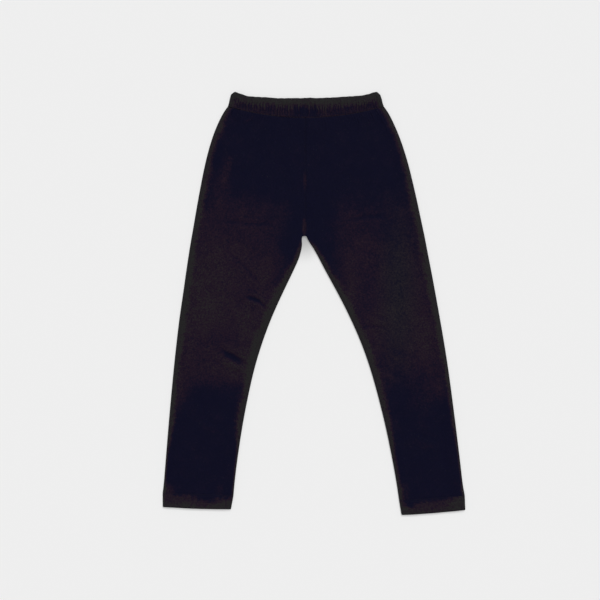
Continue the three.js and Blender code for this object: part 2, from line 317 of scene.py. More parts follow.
def makeCloth(plan, levels, depths, openRows, paleness):
    # a piece of cloth, which is open along its inner end in its first openRows rows
    outside = layCloth(plan, levels, depths)
    inside = layCloth(plan, levels, plan.form["thickness"] - depths)
    cloth = np.ones((len(levels) - 1, plan.columns.count), bool)
    cloth[:openRows, plan.columns.innerFold:] = False
    plan.grid = outside
    return clothObject(plan, outside, inside, cloth, paleness(plan, levels[:, None], outside))


# Creases and gathers

def creaseHeight(x, y, creases):
    total = np.zeros(x.shape)
    for startX, startY, endX, endY, width, lift, above, below, bow in creases:
        length = math.hypot(endX - startX, endY - startY)
        wayX, wayY = (endX - startX) / length, (endY - startY) / length
        along = ((x - startX) * wayX + (y - startY) * wayY) / length
        away = (y - startY) * wayX - (x - startX) * wayY
        away -= bow * 4 * along * (1 - along)
        away -= 0.5 * np.sin(along * 11 + startX)     # no crease is quite straight
        taper = ease(along * 3) * ease((1 - along) * 3)
        for height, middle, reach in ((lift, 0, 1), (above, 2, 1.3), (below, -2, 1.3)):
            total += taper * height * bell((away - middle * width) / (reach * width))
    return total


# Each crease runs from one point to another, in mm from the middle of the waist's top edge. Then come
# its width, its height, less than nothing for a trough, the heights of the ridges on its left and right
# along the way, and how far it bows.
frontCreases = [
    (-117, -209, -56, -270, 2.6, -0.45, 0.2, 0.1, 2),
    (-121, -173, -37, -177, 2.6, -0.55, 0.25, 0.2, -2),
    (52, -174, 120, -166, 2.6, -0.55, 0.2, 0.25, 2),
    (-86, -279, -50, -299, 2.4, -1.2, 0.6, 0.4, 3),
    (-85, -281, -60, -288, 2.8, -1.1, 0, 0.2, 2),
    (-98, -283, -82, -294, 2.2, -0.6, 0.2, 0, 0),
    (-125, -350, -84, -372, 3.2, -1.2, 0.4, 0, -1),
    (-116, -357, -82, -374, 4.2, -1.3, 0, 0.8, -3),
    (-134, -368, -116, -376, 2.4, -0.5, 0.15, 0, 0),
    (-112, -372, -80, -388, 3.6, 0.8, -0.2, 0, 1),
    (86, -303, 121, -312, 2.4, -0.25, 0.1, 0.15, 0),
    (78, -321, 120, -323, 2, -0.65, 0.3, 0.3, 0),
    (-100, -70, -118, -134, 6, 0.5, 0, 0, 0),
    (-88, -36, -69, -24, 1.8, 0.6, 0, 0, 0),
    (30, -205, 118, -228, 4.5, -0.22, 0.15, 0, 3),
    (-28, -208, -84, -232, 4.5, -0.18, 0.15, 0, -2),
    (112, -352, 168, -372, 4.5, -0.25, 0.15, 0.2, 2),
    (96, -372, 140, -398, 4, -0.22, 0, 0.2, 1),
    (-170, -330, -132, -352, 3.8, -0.2, 0.1, 0.1, 0),
    (-150, -452, -104, -470, 4.5, -0.35, 0.15, 0.2, 2),
    (150, -470, 196, -486, 4.5, -0.35, 0.15, 0.2, -2),
]
backCreases = [
    (-112, -176, -30, -184, 3, 0.6, 0, 0, 0),
    (40, -182, 126, -172, 3, 0.6, 0, 0, 0),
    (-120, -224, -52, -262, 3.4, 0.6, 0, 0, 2),
    (58, -236, 128, -262, 3.4, 0.55, 0, 0, -2),
    (-130, -352, -84, -366, 3.2, 0.7, 0, 0, 0),
    (96, -330, 150, -352, 3.2, 0.65, 0, 0, 2),
    (-140, -392, -92, -402, 3.6, 0.5, 0, 0, 0),
    (110, -392, 166, -408, 3.6, 0.5, 0, 0, 0),
]

gathers = {
    "front": {"spacing": (2.5, 4.6), "height": 1.3, "seed": {"right": 41, "left": 77}},
    "back": {"spacing": (4.0, 6.8), "height": 0.9, "seed": {"right": 42, "left": 78}},
    "casingEnds": 23,                 # below this the puffs die away
    "wander": [(0.9, 30, 0), (0.35, 9, 9)],   # how far the valleys stray: width, size, more on the seed
}


def gatherLines(length, spacing, seed):
    # the valleys that the elastic draws, by their places from the centre seam, and how the cloth puffs
    # up between each and the next
    dice = np.random.default_rng(seed)
    valleys = [-1.5]
    while valleys[-1] < length + 2:
        valleys.append(valleys[-1] + dice.uniform(*spacing))
    count = len(valleys)
    return {
        "seed": seed, "valleys": np.array(valleys), "height": dice.uniform(0.4, 1, count),
        "start": dice.uniform(1, 8, count), "reach": dice.uniform(6, 34, count),
    }


def gatherPuffs(across, below, lines):
    # across is measured on the drawn-up waist, and below from its top edge
    layers = [(width, size, lines["seed"] + more, 1) for width, size, more in gathers["wander"]]
    at = across + swells(across, below, layers) * ease(below / 14)
    index = np.clip(np.searchsorted(lines["valleys"], at) - 1, 0, len(lines["valleys"]) - 2)
    low, high = lines["valleys"][index], lines["valleys"][index + 1]
    puff = np.sin(np.pi * np.clip((at - low) / (high - low), 0, 1)) ** 0.8
    ending = below - gathers["casingEnds"]
    fade = ease((below - lines["start"][index]) / 8) * (1 - ease(ending / lines["reach"][index]))
    evenly = 0.4 * ease((below - 4) / 8) * (1 - ease(ending / 20))
    return lines["height"][index] * fade * puff - evenly


gatherSets = {}
for side in sides:
    waist = plans["casing", side].width
    for panel in ("front", "back"):
        table = gathers[panel]
        gatherSets[panel, side] = gatherLines(waist, table["spacing"], table["seed"][side])


def gatherHeight(panel, plan, share, below):
    return gathers[panel]["height"] * gatherPuffs(share * plan.width, below, gatherSets[panel, plan.side])


# Legs, from the casing to the hem

leg = {
    "thickness": 0.8,                 # of the jersey
    "foldHeight": 4.5, "outerFront": 5.4, "outerBack": 2.4,
    # how round the inner fold is where it starts at the crotch, and how much rounder it grows
    "innerStart": 0.1, "innerFront": 4.9, "innerBack": 2.1, "innerGrows": 30, "innerRises": 34,
    "edgeRoll": 17,
    # how high the front stands at so many mm below the waist
    "riseBelow": [28, 34, 54, 88, 140, 196, 240, 275, 310, 348, 392, 453, 540, 559],
    "rise": [4.3, 4.5, 3.7, 3.1, 3.1, 3.4, 3.7, 3.9, 4.0, 4.0, 3.5, 2.9, 3.0, 3.4],
    "columns": (98, 58, 10),          # cells across the front, across the back and round each fold
    "rowPitch": 2.3,
    "endRows": (0, 0.5, 1.1, 1.9, 3), "crotchRows": (0, 0.12, 0.4, 0.9, 1.6, 2.5, 3.8),
    "frontSwells": [(0.28, 52, 3, 1), (0.12, 20, 4, 1), (0.05, 8, 5, 1)],
    "seamDepth": 0.9, "allowance": {"right": 0.075, "left": 0.3},
    "inseamAt": 7.5, "inseamDepth": 0.5, "inseamFades": 330,
    "paleness": -0.06, "rimHighlight": 1.06, "creaseShading": 0.34,
    # how wide the pale rims of painted highlight along the folds are at so many mm below the waist, and the
    # uneven edge that they have
    "rimBelow": (24, 38, 79, 138, 199, 270, 340, 400, 456, 500, 540, 556),
    "outerRim": {
        "right": (6.5, 10, 8.2, 10, 8.5, 9.9, 9.2, 6.4, 8.5, 3, 2.4, 5),
        "left": (7.8, 7.8, 7.8, 9.9, 9.9, 9.9, 8.5, 5.7, 5.4, 2.6, 2.3, 4),
    },
    "innerRim": {
        "right": (0, 0, 0, 0, 4, 12.2, 13.4, 10.5, 10.5, 3, 2.2, 3),
        "left": (0, 0, 0, 0, 5.4, 9.9, 11, 10.3, 9.6, 5.8, 5.5, 7),
    },
    "rimSeed": {"outer": 61, "inner": 63}, "rimSlack": {"outer": 0, "inner": 0.01},
    # patches of painted sheen, paler, and of painted shade, darker, among them painted highlights down the
    # centre seam: place, size and how much
    "fades": [
        (-92, -182, 78, 46, 0.3), (-100, -262, 76, 62, 0.34), (-120, -338, 66, 60, 0.36),
        (-134, -264, 27, 64, 0.16), (-121, -108, 16, 56, 0.22), (-122, -378, 62, 28, 0.26),
        (88, -185, 72, 46, 0.28), (112, -262, 76, 62, 0.32), (134, -335, 62, 58, 0.32),
        (168, -372, 30, 66, 0.24), (125, -265, 24, 120, 0.12), (150, -200, 22, 70, 0.12),
        (-150, -200, 20, 50, 0.14), (-162, -270, 20, 50, 0.14), (-171, -340, 20, 46, 0.2),
        (-175, -392, 22, 34, 0.25), (-56, -270, 14, 40, 0.16), (-79, -338, 16, 46, 0.2),
        (-94, -386, 16, 28, 0.14), (60, -270, 14, 40, 0.18), (96, -338, 14, 40, 0.12),
        (113, -394, 14, 28, 0.14), (168, -270, 18, 48, 0.14), (187, -393, 18, 34, 0.1),
        (-105, -33, 10, 10, 0.08), (-197, -555, 13, 13, 0.5), (-120, -552, 6, 10, 0.2),
        (140, -556, 8, 16, 0.2), (-131, -293, 34, 30, -0.09), (123, -298, 32, 28, -0.09),
        (-183, -416, 15, 34, 0.27), (5, -178, 38, 46, -0.2), (-30, -222, 16, 26, -0.12),
        (44, -224, 14, 26, -0.12), (-42, -228, 12, 22, 0.22), (52, -226, 14, 20, 0.17),
        (-82, -250, 26, 20, 0.15), (118, -196, 26, 36, -0.19), (-126, -76, 12, 26, -0.15),
        (-158, -366, 20, 16, -0.14), (-112, -370, 24, 18, -0.1), (-120, -252, 26, 40, 0.1),
        (178, -342, 14, 26, 0.1), (-150, -296, 20, 60, 0.1), (192, -408, 8, 18, 0.14),
        (-164, -378, 18, 18, -0.1), (-122, -88, 12, 26, -0.08), (72, -262, 12, 40, 0.1),
        (92, -160, 22, 20, -0.08), (-24, -158, 14, 16, 0.14), (-26, -232, 8, 14, 0.12),
        (-92, -158, 16, 14, 0.06), (146, -362, 14, 16, -0.1), (160, -394, 12, 14, -0.1),
        (128, -446, 7, 20, 0.1), (-1, -181, 3.2, 15, 0.62), (0, -117, 2.6, 15, 0.36),
    ],
}


def legForm(plan):
    def underCrotch(level):
        return (level - plan.joined) * plan.length

    def rise(level):
        below = np.interp(level, (0, 1), (waistY - plan.innerY[0], waistY - plan.innerY[1]))
        return np.interp(below, leg["riseBelow"], leg["rise"])

    def innerHeight(level):
        grown = ease(underCrotch(level) / leg["innerRises"])
        return rise(level) + (leg["foldHeight"] - rise(level)) * grown

    def grownTo(radius):
        start, grows = leg["innerStart"], leg["innerGrows"]
        return lambda level: start + radius * np.clip(underCrotch(level) / grows, 0, 1)

    return {
        **leg, "rise": rise, "innerHeight": innerHeight,
        "innerFront": grownTo(leg["innerFront"]), "innerBack": grownTo(leg["innerBack"]),
    }


def legRelief(plan, x, y, level, share, fromInner, fromOuter):
    below = -y - 5 * share**2
    top = swells(x, y, leg["frontSwells"]) * (0.35 + 0.65 * ease(fromOuter / 14))
    top += creaseHeight(x, y, frontCreases) + gatherHeight("front", plan, share, below)
    # the centre seam is drawn in, and its allowance lies folded to one side
    joined = ease((y + waistY - crotchY) / 8)
    pucker = 1 + 0.35 * np.sin(y / 1.9) * softNoise(0, y, 23, 8)
    top -= joined * leg["seamDepth"] * pucker * bell(fromInner / 1.3)
    raised = ease((fromInner - 0.9) / 1.2) * (1 - ease((fromInner - 6) / 2))
    top += joined * raised * leg["allowance"][plan.side] * pucker
    # the inseam runs just inside the inner fold, with a low ridge beside it
    inseam = ease((crotchY - waistY - y - 14) / 30) * (1 - ease((-y - leg["inseamFades"]) / 60))
    top -= inseam * leg["inseamDepth"] * bell((fromInner - leg["inseamAt"]) / 1.1)
    top += inseam * 0.25 * bell((fromInner - leg["inseamAt"] + 4) / 2.4)
    # it dips a little to the seams at both its ends
    fromTop, fromHem = level * plan.length, (1 - level) * plan.length
    top -= 0.22 * bell(fromHem / 1.4) + 0.15 * bell(fromTop / 1.4)
    back = np.maximum(0, 0.22 * softNoise(x, y, 44, 6) - 0.05) + creaseHeight(x, y, backCreases)
    back += np.maximum(0, gatherHeight("back", plan, share, below))
    back += joined * 0.5 * bell(fromInner / 1.3)
    return top, np.maximum(back * ease(fromOuter / 8), 0)


def rimHighlightShare(x, y, which, side, fromEdge):
    # 1 on a rim of painted highlight along a fold, easing to nothing where the rim ends
    width = np.interp(waistY - y, leg["rimBelow"], leg[which + "Rim"][side])
    seed = leg["rimSeed"][which]
    width = width * (1 + 0.13 * softNoise(0.3 * x, y, 6, seed) + 0.08 * softNoise(x, y, 2.5, seed + 1))
    return ease((1.43 * width - fromEdge) / (1.1 * width + leg["rimSlack"][which]))


def legPaleness(plan, level, points):
    # painted light: a painted highlight along the rims, painted sheen and painted shade in patches, and a
    # painted highlight on the tops of the creases with painted shade in their troughs
    x, y = points[..., 0], points[..., 1]
    innerX, outerX = plan.across(level)
    edges = rimHighlightShare(x, y, "outer", plan.side, outerX - x)
    edges += rimHighlightShare(x, y, "inner", plan.side, x - innerX) * ease((crotchY - y) / 20)
    garmentX, garmentY = plan.sign * x, y - waistY
    # painted sheen and painted shade, patch by patch
    fadingAndSheen = np.zeros(x.shape)
    for shadingX, shadingY, radiusX, radiusY, amount in leg["fades"]:
        away = ((garmentX - shadingX) / radiusX) ** 2 + ((garmentY - shadingY) / radiusY) ** 2
        fadingAndSheen += amount * bell(away)
    # painted highlight on the crease ridges and painted shade in their troughs
    creaseLight = np.minimum(creaseHeight(garmentX, garmentY, frontCreases), 0.5)
    # the rims take a painted highlight, the sheen that the rolled folds catch
    wearAndHighlight = leg["rimHighlight"] * np.clip(edges, 0, 1)
    return leg["paleness"] + wearAndHighlight + fadingAndSheen + leg["creaseShading"] * creaseLight


def makeLeg(plan):
    plan.form, plan.relief, plan.columns = legForm(plan), legRelief, Columns(*leg["columns"])
    upper = ladder(plan.innerY[0], crotchY, leg["rowPitch"], lead=leg["endRows"])
    lower = ladder(crotchY, plan.innerY[1], leg["rowPitch"], lead=leg["crotchRows"], tail=leg["endRows"])
    levels = (plan.innerY[0] - np.concatenate([upper[:-1], lower])) / plan.length
    plan.crotchRow = len(upper)
    return makeCloth(plan, levels, 0 * levels, len(upper) - 1, legPaleness)


pieces = {}
for side in sides:
    pieces["leg", side] = makeLeg(plans["leg", side])
print("legs made:", [len(pieces["leg", side].data.polygons) for side in sides], "faces")


# Bands: the waist casing and the hems, with rounded edges where the cloth turns

def bandRows(plan, wall, pitch):
    # the levels of a band's rows, and how deep under its outer face each is as its edges turn
    length, turn = plan.length, wall / 2
    angles = np.radians([78, 56, 34, 14])
    edge, depth = turn * (1 - np.sin(angles)), turn * (1 - np.cos(angles))
    count = round((length - 2 * turn) / pitch)
    middle = np.linspace(turn, length - turn, count + 1)
    levels = np.concatenate([edge, middle, length - edge[::-1]]) / length
    depths = np.concatenate([depth, 0 * middle, depth[::-1]])
    return levels, depths


def stitchGrooves(below, band):
    return sum(bell((below - row) / band["grooveWidth"]) for row in band["stitchRows"])


casing = {
    "thickness": 2.1,                 # elastic between two layers of jersey
    "foldHeight": 5.7, "outerFront": 3.6, "outerBack": 2.7,
    "innerFront": 0, "innerBack": 0,
    "edgeRoll": 12,
    "riseBelow": [0, 1.5, 4, 9, 15, 21, 24.5, 27.6],
    "rise": [4.6, 5.1, 5.6, 6.0, 5.8, 5.3, 5.0, 4.7],
    "columns": (150, 96, 12),
    "open": True,                     # where it meets the other half
    "rowPitch": 0.9,
    # the elastic leaves the top edge uneven: place from the seam, reach and height of each bump
    "edgeBumps": [
        (6, 8, 0.8), (-37, 15, -0.45), (45, 15, 0.3), (91, 4, -0.45), (-100, 4, 0.45), (-78, 7, -0.25)],
    "edgeSwell": 0.16,
    "swells": [(0.16, 26, 21, 1), (0.09, 7, 22, 0.6)],
    "stitchRows": [22.6, 25.7],       # from the top edge
    "grooveWidth": 0.9, "frontGroove": 0.35, "backGroove": 0.35,
    "pinch": {"right": 0, "left": 1}, "pinchAt": 13.5,     # one deeper pinch of the elastic
    # how far down the top stays paler: partly the stretched jersey's tone, partly a painted highlight
    "paleTopTo": {"right": 6.6, "left": 8.4},
    "paleness": 0.23, "topPaleness": 0.86, "puffShading": 0.48, "edgeHighlight": 0.8,
    "centreDarkness": 0.32, "pinchShade": 0.5,
}
for side in sides:
    plan = plans["casing", side]
    edgeX = plan.sign * (plan.innerX[0] + plan.width * plan.steps)
    for bumpX, reach, height in casing["edgeBumps"]:
        plan.topSweep += height * bell((edgeX - bumpX) / reach)
    plan.topSweep += casing["edgeSwell"] * softNoise(edgeX, 0, 7, 91)


def casingRelief(plan, x, y, level, share, fromInner, fromOuter):
    below = level * plan.length
    top = gatherHeight("front", plan, share, below) + swells(x, y, casing["swells"])
    # it dips at the centre seam, with the allowance under it near the top edge
    dip = bell(fromInner / 1.4)
    top -= dip * (0.5 + 0.5 * ease((below - 8) / 8))
    top += 0.35 * bell((fromInner - 5) / 3.5) * (1 - ease((below - 4) / 8))
    pinched = bell((fromInner - casing["pinchAt"]) / 1.3) * ease((below - 5) / 5)
    top -= casing["pinch"][plan.side] * 0.8 * pinched
    top -= casing["frontGroove"] * stitchGrooves(below, casing)
    top -= 0.2 * bell((plan.length - below) / 1.3)
    back = np.maximum(0, gatherHeight("back", plan, share, below))
    back += casing["backGroove"] * stitchGrooves(below, casing) + 0.4 * dip
    clear = ease(fromOuter / 5)
    return top * clear, back * clear


def casingPaleness(plan, level, points):
    # paler along the top, partly the stretched jersey's greyer tone and partly a painted highlight. Painted
    # highlight on the puffs between the gathers, along the outer fold and along the turned bottom edge,
    # painted shade in the gathers' valleys and in one deep pinch, and darker over the middle of the lower
    # half.
    below = level * plan.length
    innerX, outerX = plan.across(level)
    inward, toFold = points[..., 0] - innerX, outerX - points[..., 0]
    drawn = inward / (outerX - innerX) * plan.width
    puff = gatherPuffs(drawn, below, gatherSets["front", plan.side])
    # a painted highlight along the outer fold
    edges = ease(1.5 - toFold / 7)
    centre = bell(inward / 19) * ease((below - 6) / 8)
    # painted shade in the one deep pinch of the elastic
    pinched = casing["pinch"][plan.side] * bell((inward - casing["pinchAt"]) / 1.7) * ease((below - 5) / 5)
    # the top is paler, partly the stretched jersey's greyer tone and partly a painted highlight
    wearAndHighlight = 1 - ease((below - casing["paleTopTo"][plan.side] - 8 * puff) / 10)
    # a painted highlight along the turned bottom edge, in dots
    turned = bell((plan.length - below - 0.9) / 1.1) * (0.2 + 0.2 * softNoise(drawn, 0, 2.3, 57))
    pale = casing["paleness"] + casing["topPaleness"] * wearAndHighlight
    # painted highlight on the puffs, with painted shade in the valleys between them
    pale += casing["puffShading"] * puff * ease(below / 6) + casing["edgeHighlight"] * edges + turned
    return pale - casing["centreDarkness"] * centre - casing["pinchShade"] * pinched


hem = {
    "thickness": 1.6,                 # jersey turned up on itself
    "foldHeight": 4.6, "outerFront": 4.6, "outerBack": 2.2,
    "innerFront": 4.4, "innerBack": 2.2, "innerHeight": 4.6,
    "edgeRoll": 12,
    "riseBelow": [0, 2.5, 6, 13, 18, 21],
    "rise": [3.5, 3.9, 4.1, 4.6, 4.8, 4.7],
    "columns": (62, 44, 12, (0, 2)),
    "open": False,
    "rowPitch": 0.9,
    "bowed": {"right": 0.5, "left": 0},       # how far the middle of the bottom edge hangs
    "seed": {"right": 31, "left": 33},
    "stitchRows": [2.2, 6.6],         # from the seam above the hem
    "grooveWidth": 0.8, "frontGroove": 0.3, "backGroove": 0.32,
    # how far down the hem its painted highlight, of the light on its upturned bottom, starts dim and then
    # bright, from the inner edge to the outer one
    "across": (0, 0.15, 0.35, 0.65, 0.85, 1),
    "dimHighlightFrom": {"right": (0.15, 0.2, 0.45, 0.12, 0.05, -0.3), "left": (-0.2, 0.5, 0.2, 0.12, 0, -0.2)},
    "brightHighlightFrom": {"right": (0.4, 0.55, 0.8, 0.72, 0.75, 0.7), "left": (0.2, 0.75, 0.9, 0.85, 0.2, 0)},
    "patches": [(0.09, 8, 71, 1), (0.06, 2.6, 72, 1)],
    "paleness": -0.05, "dimHighlight": 0.58, "brightHighlight": 0.45, "edgeHighlight": 0.4,
}
for side in sides:
    plans["hem", side].bottomSweep -= hem["bowed"][side] * bell((plans["hem", side].steps - 0.5) / 0.3)


def hemRelief(plan, x, y, level, share, fromInner, fromOuter):
    seed = hem["seed"][plan.side]
    below = level * plan.length
    clear = ease(fromOuter / 6) * ease(fromInner / 6)
    top = swells(x, y, [(0.22, 34, seed, 1), (0.1, 9, seed + 1, 0.5)])
    top -= hem["frontGroove"] * stitchGrooves(below, hem) + 0.14 * bell(below / 1.3)
    back = np.maximum(0, 0.12 * softNoise(x, y, 30, seed + 2))
    back += hem["backGroove"] * stitchGrooves(below, hem)
    return top * clear, back * clear


def hemPaleness(plan, level, points):
    innerX, outerX = plan.across(level)
    x, y = points[..., 0], points[..., 1]
    inward = (x - innerX) / (outerX - innerX)
    # a painted highlight along both folds
    edges = ease(1 - (outerX - x) / 5) + ease(1 - (x - innerX) / 5)
    reached = level + 0.15 + swells(x, y, hem["patches"])

    def past(start):
        return ease((reached - np.interp(inward, hem["across"], hem[start][plan.side])) / 0.3)

    # the painted highlight where the hem turns up towards its bottom
    turned = hem["dimHighlight"] * past("dimHighlightFrom") + hem["brightHighlight"] * past("brightHighlightFrom")
    return hem["paleness"] + turned + hem["edgeHighlight"] * edges


bands = {"casing": (casing, casingRelief, casingPaleness), "hem": (hem, hemRelief, hemPaleness)}


def makeBand(plan):
    band, plan.relief, paleness = bands[plan.kind]

    def rise(level):
        return np.interp(level * plan.length, band["riseBelow"], band["rise"])

    plan.form = {"innerHeight": rise, **band, "rise": rise}
    plan.columns = Columns(*band["columns"])
    levels, depths = bandRows(plan, band["thickness"], band["rowPitch"])
    return makeCloth(plan, levels, depths, len(levels) if band["open"] else 0, paleness)


for kind in bands:
    for side in sides:
        pieces[kind, side] = makeBand(plans[kind, side])
    print(kind, "made:", [len(pieces[kind, side].data.polygons) for side in sides], "faces")


# Seams: the thread that closes the joins, pulled down into them

seam = {"radius": 0.42, "under": 0.42, "sides": 8, "centreUnder": 0.45}


def circle(count, sideways, up):
    # points round a circle of radius 1, or round one for each of several directions
    turns = 2 * np.pi * np.arange(count) / count
    return np.cos(turns)[:, None] * sideways[..., None, :] + np.sin(turns)[:, None] * up[..., None, :]


def tubeFaces(base, rings, count, closed=False):
    # a round tube's faces, with its ends filled if it has any. Its points start at number base.
    faces = []
    for i in range(rings if closed else rings - 1):
        here, there = base + i * count, base + (i + 1) % rings * count
        for j in range(count):
            k = (j + 1) % count
            faces.append((here + j, there + j, there + k, here + k))
    if not closed:
        faces.append(tuple(base + j for j in range(count)))
        faces.append(tuple(base + rings * count - 1 - j for j in range(count)))
    return faces


def cordObject(name, path, closed, aside):
    # a round cord along a path of points in mm. aside is a direction that the path never takes.
    path, aside = np.array(path), np.array(aside, float)
    if closed:
        way = np.roll(path, -1, axis=0) - np.roll(path, 1, axis=0)
    else:
        way = np.gradient(path, axis=0)
    way = unit(way)
    sideways = unit(aside - (way @ aside)[:, None] * way)
    rings = circle(seam["sides"], sideways, np.cross(sideways, way))
    points = (path[:, None] + seam["radius"] * rings).reshape(-1, 3)
    points[:, 2] = np.maximum(points[:, 2], 0)
    return smoothPiece(name, points, tubeFaces(0, len(path), seam["sides"], closed))


def ringPath(side, level, lift, closed):
    # round a leg's top or bottom edge, just under its outer face
    plan = plans["leg", side]
    path = plan.inGarment(layCloth(plan, [level], [seam["under"]])[0]) + (0, lift, 0)
    return path if closed else path[:plan.columns.innerFold + 1]


def centrePath():
    # down the centre front from the top of the casing to the crotch, and up the centre back
    band, plan, under = plans["casing", "left"], plans["leg", "left"], seam["centreUnder"]
    front = [*band.grid[1:-3, 0], *plan.grid[2:plan.crotchRow, 0]]
    back = [*band.grid[1:-3, band.columns.innerFold], *plan.grid[2:plan.crotchRow, plan.columns.innerFold]]
    return [(seamX, y, z - under) for _, y, z in front] + [(seamX, y, z + under) for _, y, z in back[::-1]]


alongX, alongY = (1, 0, 0), (0, 1, 0)
halfJoin = 0.15                         # from a leg's edge to the middle of its join
waistPath = np.concatenate([
    ringPath("left", 0, halfJoin, False), ringPath("right", 0, halfJoin, False)[::-1]])
seams = {
    "centre": cordObject("centreSeam", centrePath(), False, alongX),
    "waist": cordObject("waistSeam", waistPath, True, alongY),
}
for side in sides:
    seams[side] = cordObject(side + "HemSeam", ringPath(side, 1, -halfJoin, True), True, alongY)
print("seams made:", sum(len(piece.data.polygons) for piece in seams.values()), "faces")


# Stitches, lying in the grooves that they pull into the bands

stitch = {
    "length": 2.5, "gap": 0.7, "thread": 0.26, "sides": 6, "first": 0.8,
    "ringAt": [-0.5, -0.38, 0, 0.38, 0.5], "ringSize": [0.35, 0.85, 1, 0.85, 0.35],
    "under": 0.15, "offFloor": 0.02,
}


def stitchObject(name, rowsOfPoints):
    ringAt, ringSize = np.array(stitch["ringAt"]), np.array(stitch["ringSize"])
    count, thread = stitch["sides"], stitch["thread"]
    points, faces = [], []
    for middle, normal in rowsOfPoints:
        run = distances(middle)
        pitch = stitch["length"] + stitch["gap"]
        for start in stitch["first"] + pitch * np.arange(int((run[-1] - 1) // pitch)):
            at = start + stitch["length"] * (ringAt + 0.5)
            centre = np.stack([np.interp(at, run, middle[:, k]) for k in range(3)], -1)
            up = unit(np.array([np.interp(at[2], run, normal[:, k]) for k in range(3)]))
            sideways = np.cross(unit(centre[-1] - centre[0]), up)
            # its ends dive into the cloth
            centre = centre + up * (thread * (0.55 - 3.2 * ringAt**2))[:, None]
            base = len(points) * len(ringAt) * count
            ring = thread * ringSize[:, None, None] * circle(count, sideways, up)
            loops = (centre[:, None] + ring).reshape(-1, 3)
            loops[:, 2] += max(0, stitch["offFloor"] - loops[:, 2].min())
            points.append(loops)
            faces += tubeFaces(base, len(ringAt), count)
    return smoothPiece(name, np.concatenate(points), faces)


def stitchLine(plan, below):
    # the middle of a row of stitches round a band, and the way out of the cloth along it
    level = (below + np.array([-0.3, 0, 0.3])) / plan.length
    rows = plan.inGarment(layCloth(plan, level, 0 * level + stitch["under"]))
    if plan.form["open"]:
        rows = rows[:, :plan.columns.innerFold + 1]
    else:
        rows = np.concatenate([rows, rows[:, :1]], axis=1)
    return rows[1], unit(np.cross(rows[2] - rows[0], np.gradient(rows[1], axis=0)) * plan.sign)


threads = {}
for side in sides:
    for kind in bands:
        lines = [stitchLine(plans[kind, side], row) for row in bands[kind][0]["stitchRows"]]
        threads[kind, side] = stitchObject(side + kind.capitalize() + "Stitches", lines)
print("stitches made:", sum(len(piece.data.polygons) for piece in threads.values()), "faces")


# Materials

class Wire:
    # one output of a node, which can be added to and multiplied as a number
    def __init__(self, finish, socket):
        self.finish = finish
        self.socket = socket

    def maths(self, operation, *values):
        return self.finish.add("ShaderNodeMath", {"operation": operation}, dict(enumerate(values)))

    def out(self, name):
        return Wire(self.finish, self.socket.node.outputs[name])

    def sine(self):
        return self.maths("SINE", self)

    def floor(self):
        return self.maths("FLOOR", self)

    __add__ = __radd__ = lambda self, other: self.maths("ADD", self, other)
    __mul__ = __rmul__ = lambda self, other: self.maths("MULTIPLY", self, other)
    __sub__ = lambda self, other: self.maths("SUBTRACT", self, other)
    __rsub__ = lambda self, other: self.maths("SUBTRACT", other, self)
    __truediv__ = lambda self, other: self.maths("DIVIDE", self, other)
    __mod__ = lambda self, other: self.maths("FLOORED_MODULO", self, other)
    __pow__ = lambda self, other: self.maths("POWER", self, other)
    __abs__ = lambda self: self.maths("ABSOLUTE", self)


class Finish:
    # a material with its nodes, made one at a time
    def __init__(self, name):
        self.material = bpy.data.materials.new(name)
        self.material.use_nodes = True
        self.tree = self.material.node_tree
        self.tree.nodes.clear()

    def add(self, kind, settings, sockets, output=0):
        node = self.tree.nodes.new(kind)
        for name, setting in settings.items():
            if name == "stops":
                for _ in range(len(setting) - 2):
                    node.color_ramp.elements.new(0.5)
                for element, (place, shade) in zip(node.color_ramp.elements, setting):
                    element.position = place
                    element.color = shade
            else:
                setattr(node, name, setting)
        for name, value in sockets.items():
            if isinstance(value, Wire):
                self.tree.links.new(value.socket, node.inputs[name])
            else:
                node.inputs[name].default_value = value
        return Wire(self, node.outputs[output]) if len(node.outputs) else None

    def mixColour(self, share, first, second):
        settings = {"data_type": "RGBA", "clamp_factor": True}
        return self.add("ShaderNodeMix", settings, {0: share, 6: first, 7: second}, 2)

    def ramp(self, share, stops):
        return self.add("ShaderNodeValToRGB", {"stops": stops}, {"Fac": share}, "Color")

    def bump(self, height, strength):
        return self.add(
            "ShaderNodeBump", {}, {"Height": height, "Distance": mm, "Strength": strength}, "Normal")

    def place(self):
        return self.add("ShaderNodeTexCoord", {}, {}, "Object")

    def vectorMaths(self, operation, *values, output="Vector"):
        return self.add("ShaderNodeVectorMath", {"operation": operation}, dict(enumerate(values)), output)

    def patch(self, place, middle, size, inside, outside):
        # a soft oval lying flat: one value at its middle, easing to another at its edge. Sizes are in mm.
        away = self.vectorMaths("SUBTRACT", place, (middle[0] * mm, middle[1] * mm, 0))
        scaled = self.vectorMaths("MULTIPLY", away, (1 / (size[0] * mm), 1 / (size[1] * mm), 0))
        distance = self.vectorMaths("LENGTH", scaled, output="Value")
        return self.add("ShaderNodeMapRange", {"interpolation_type": "SMOOTHSTEP"}, {
            0: distance, 1: 0.0, 2: 1.0, 3: inside, 4: outside})

    def putOn(self, pieces, sockets):
        shader = self.add("ShaderNodeBsdfPrincipled", {}, sockets, "BSDF")
        self.add("ShaderNodeOutputMaterial", {}, {"Surface": shader})
        for piece in pieces:
            piece.data.materials.clear()
            piece.data.materials.append(self.material)


def grey(shade):
    return (shade, shade, shade, 1)


